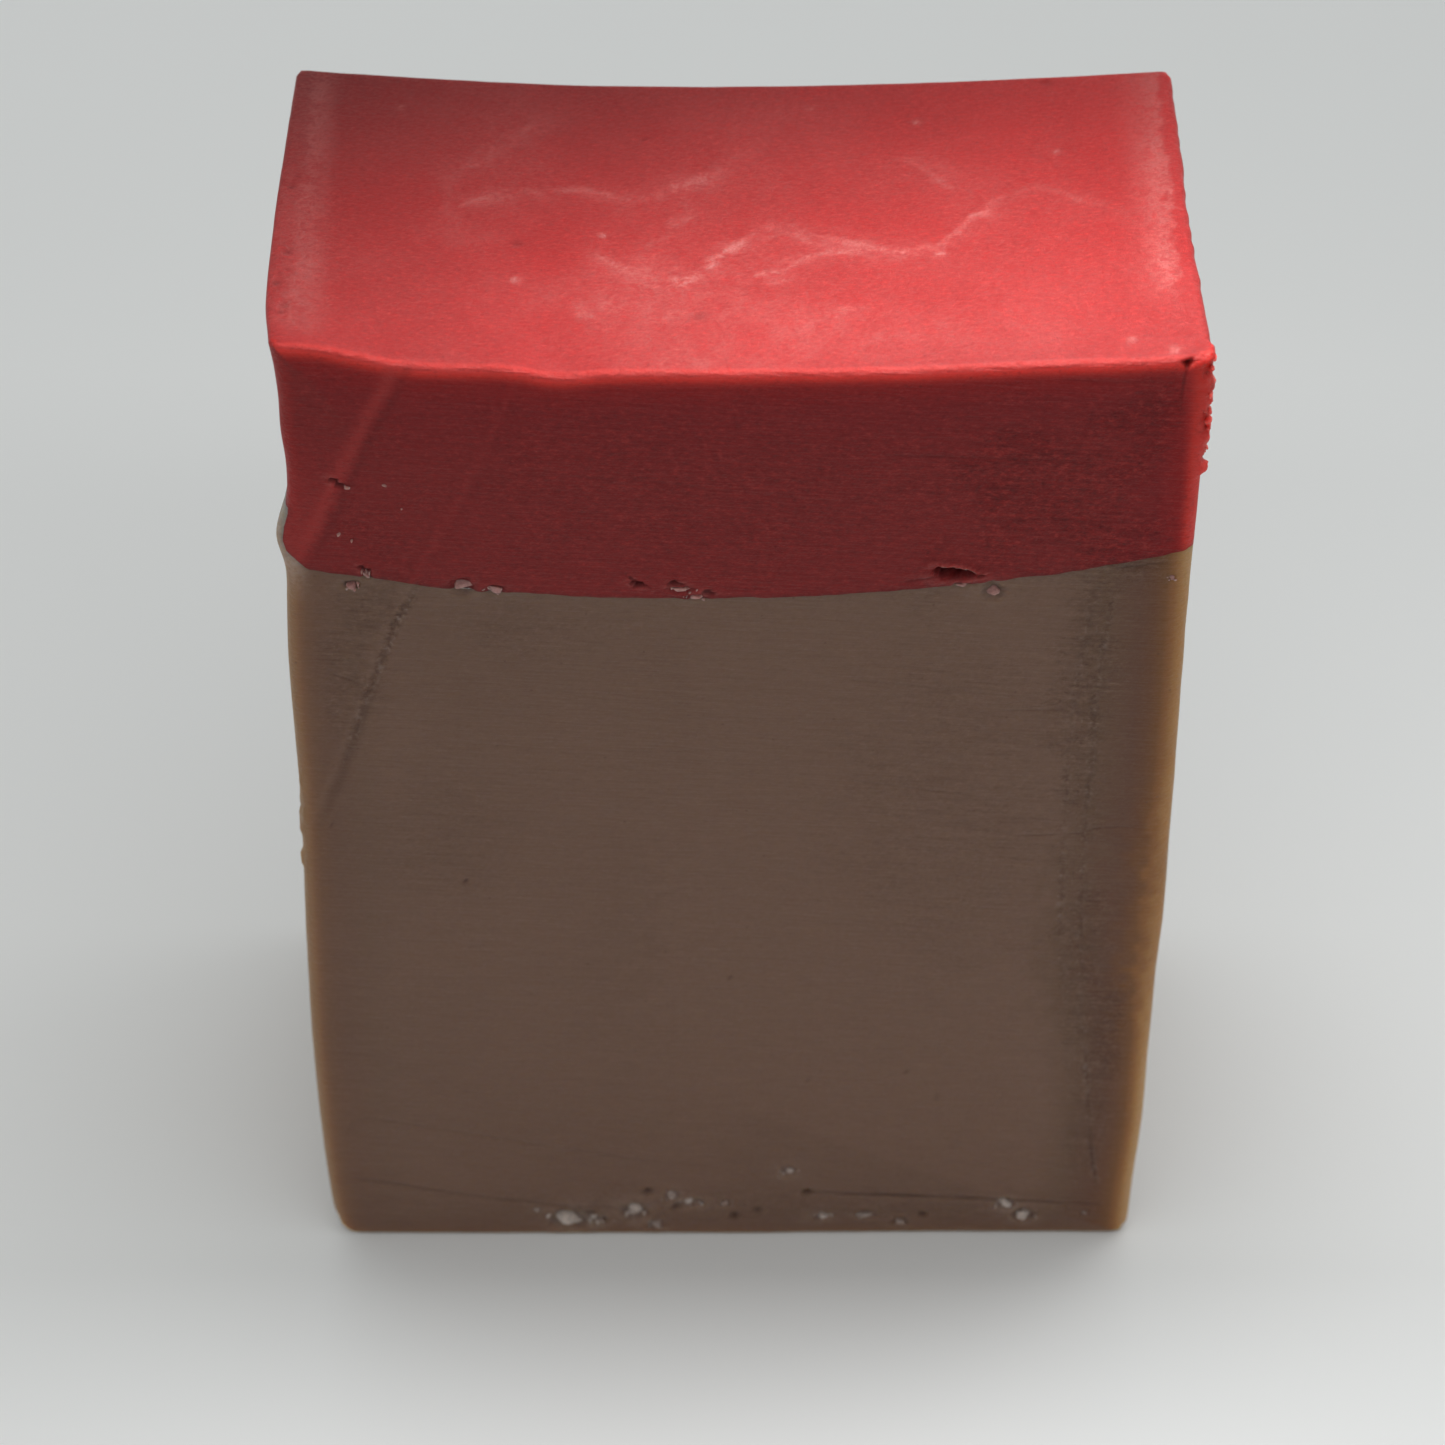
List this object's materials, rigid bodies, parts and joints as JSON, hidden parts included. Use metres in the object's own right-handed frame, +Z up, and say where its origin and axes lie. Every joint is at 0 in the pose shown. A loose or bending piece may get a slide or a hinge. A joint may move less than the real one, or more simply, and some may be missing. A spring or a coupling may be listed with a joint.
{
  "type": "layered soap bar",
  "caption": "Hand-cut two-layer soap bar: a brown base, a red top with a dipped poured face, and pale grains cast into the seam and the foot.",
  "frame": {"origin": "centre of the foot, the face that lay on the mould floor", "axes": "+X across the mould, +Y from the front cut face to the back cut face, +Z up from the foot to the poured top"},
  "size_m": [0.0575, 0.0336, 0.0766],
  "materials": {
    "base_soap": "waxy, wire-cut",
    "top_soap": "waxy, with a pale ash bloom on the poured face",
    "pale_grain": "frosted, crystalline"
  },
  "bodies": {
    "root": {"base_layer": "base_soap", "top_layer": "top_soap", "seam_grains": "pale_grain", "foot_grains": "pale_grain", "top_flecks": "pale_grain", "edge_crumbs": "top_soap"}
  },
  "joints": []
}
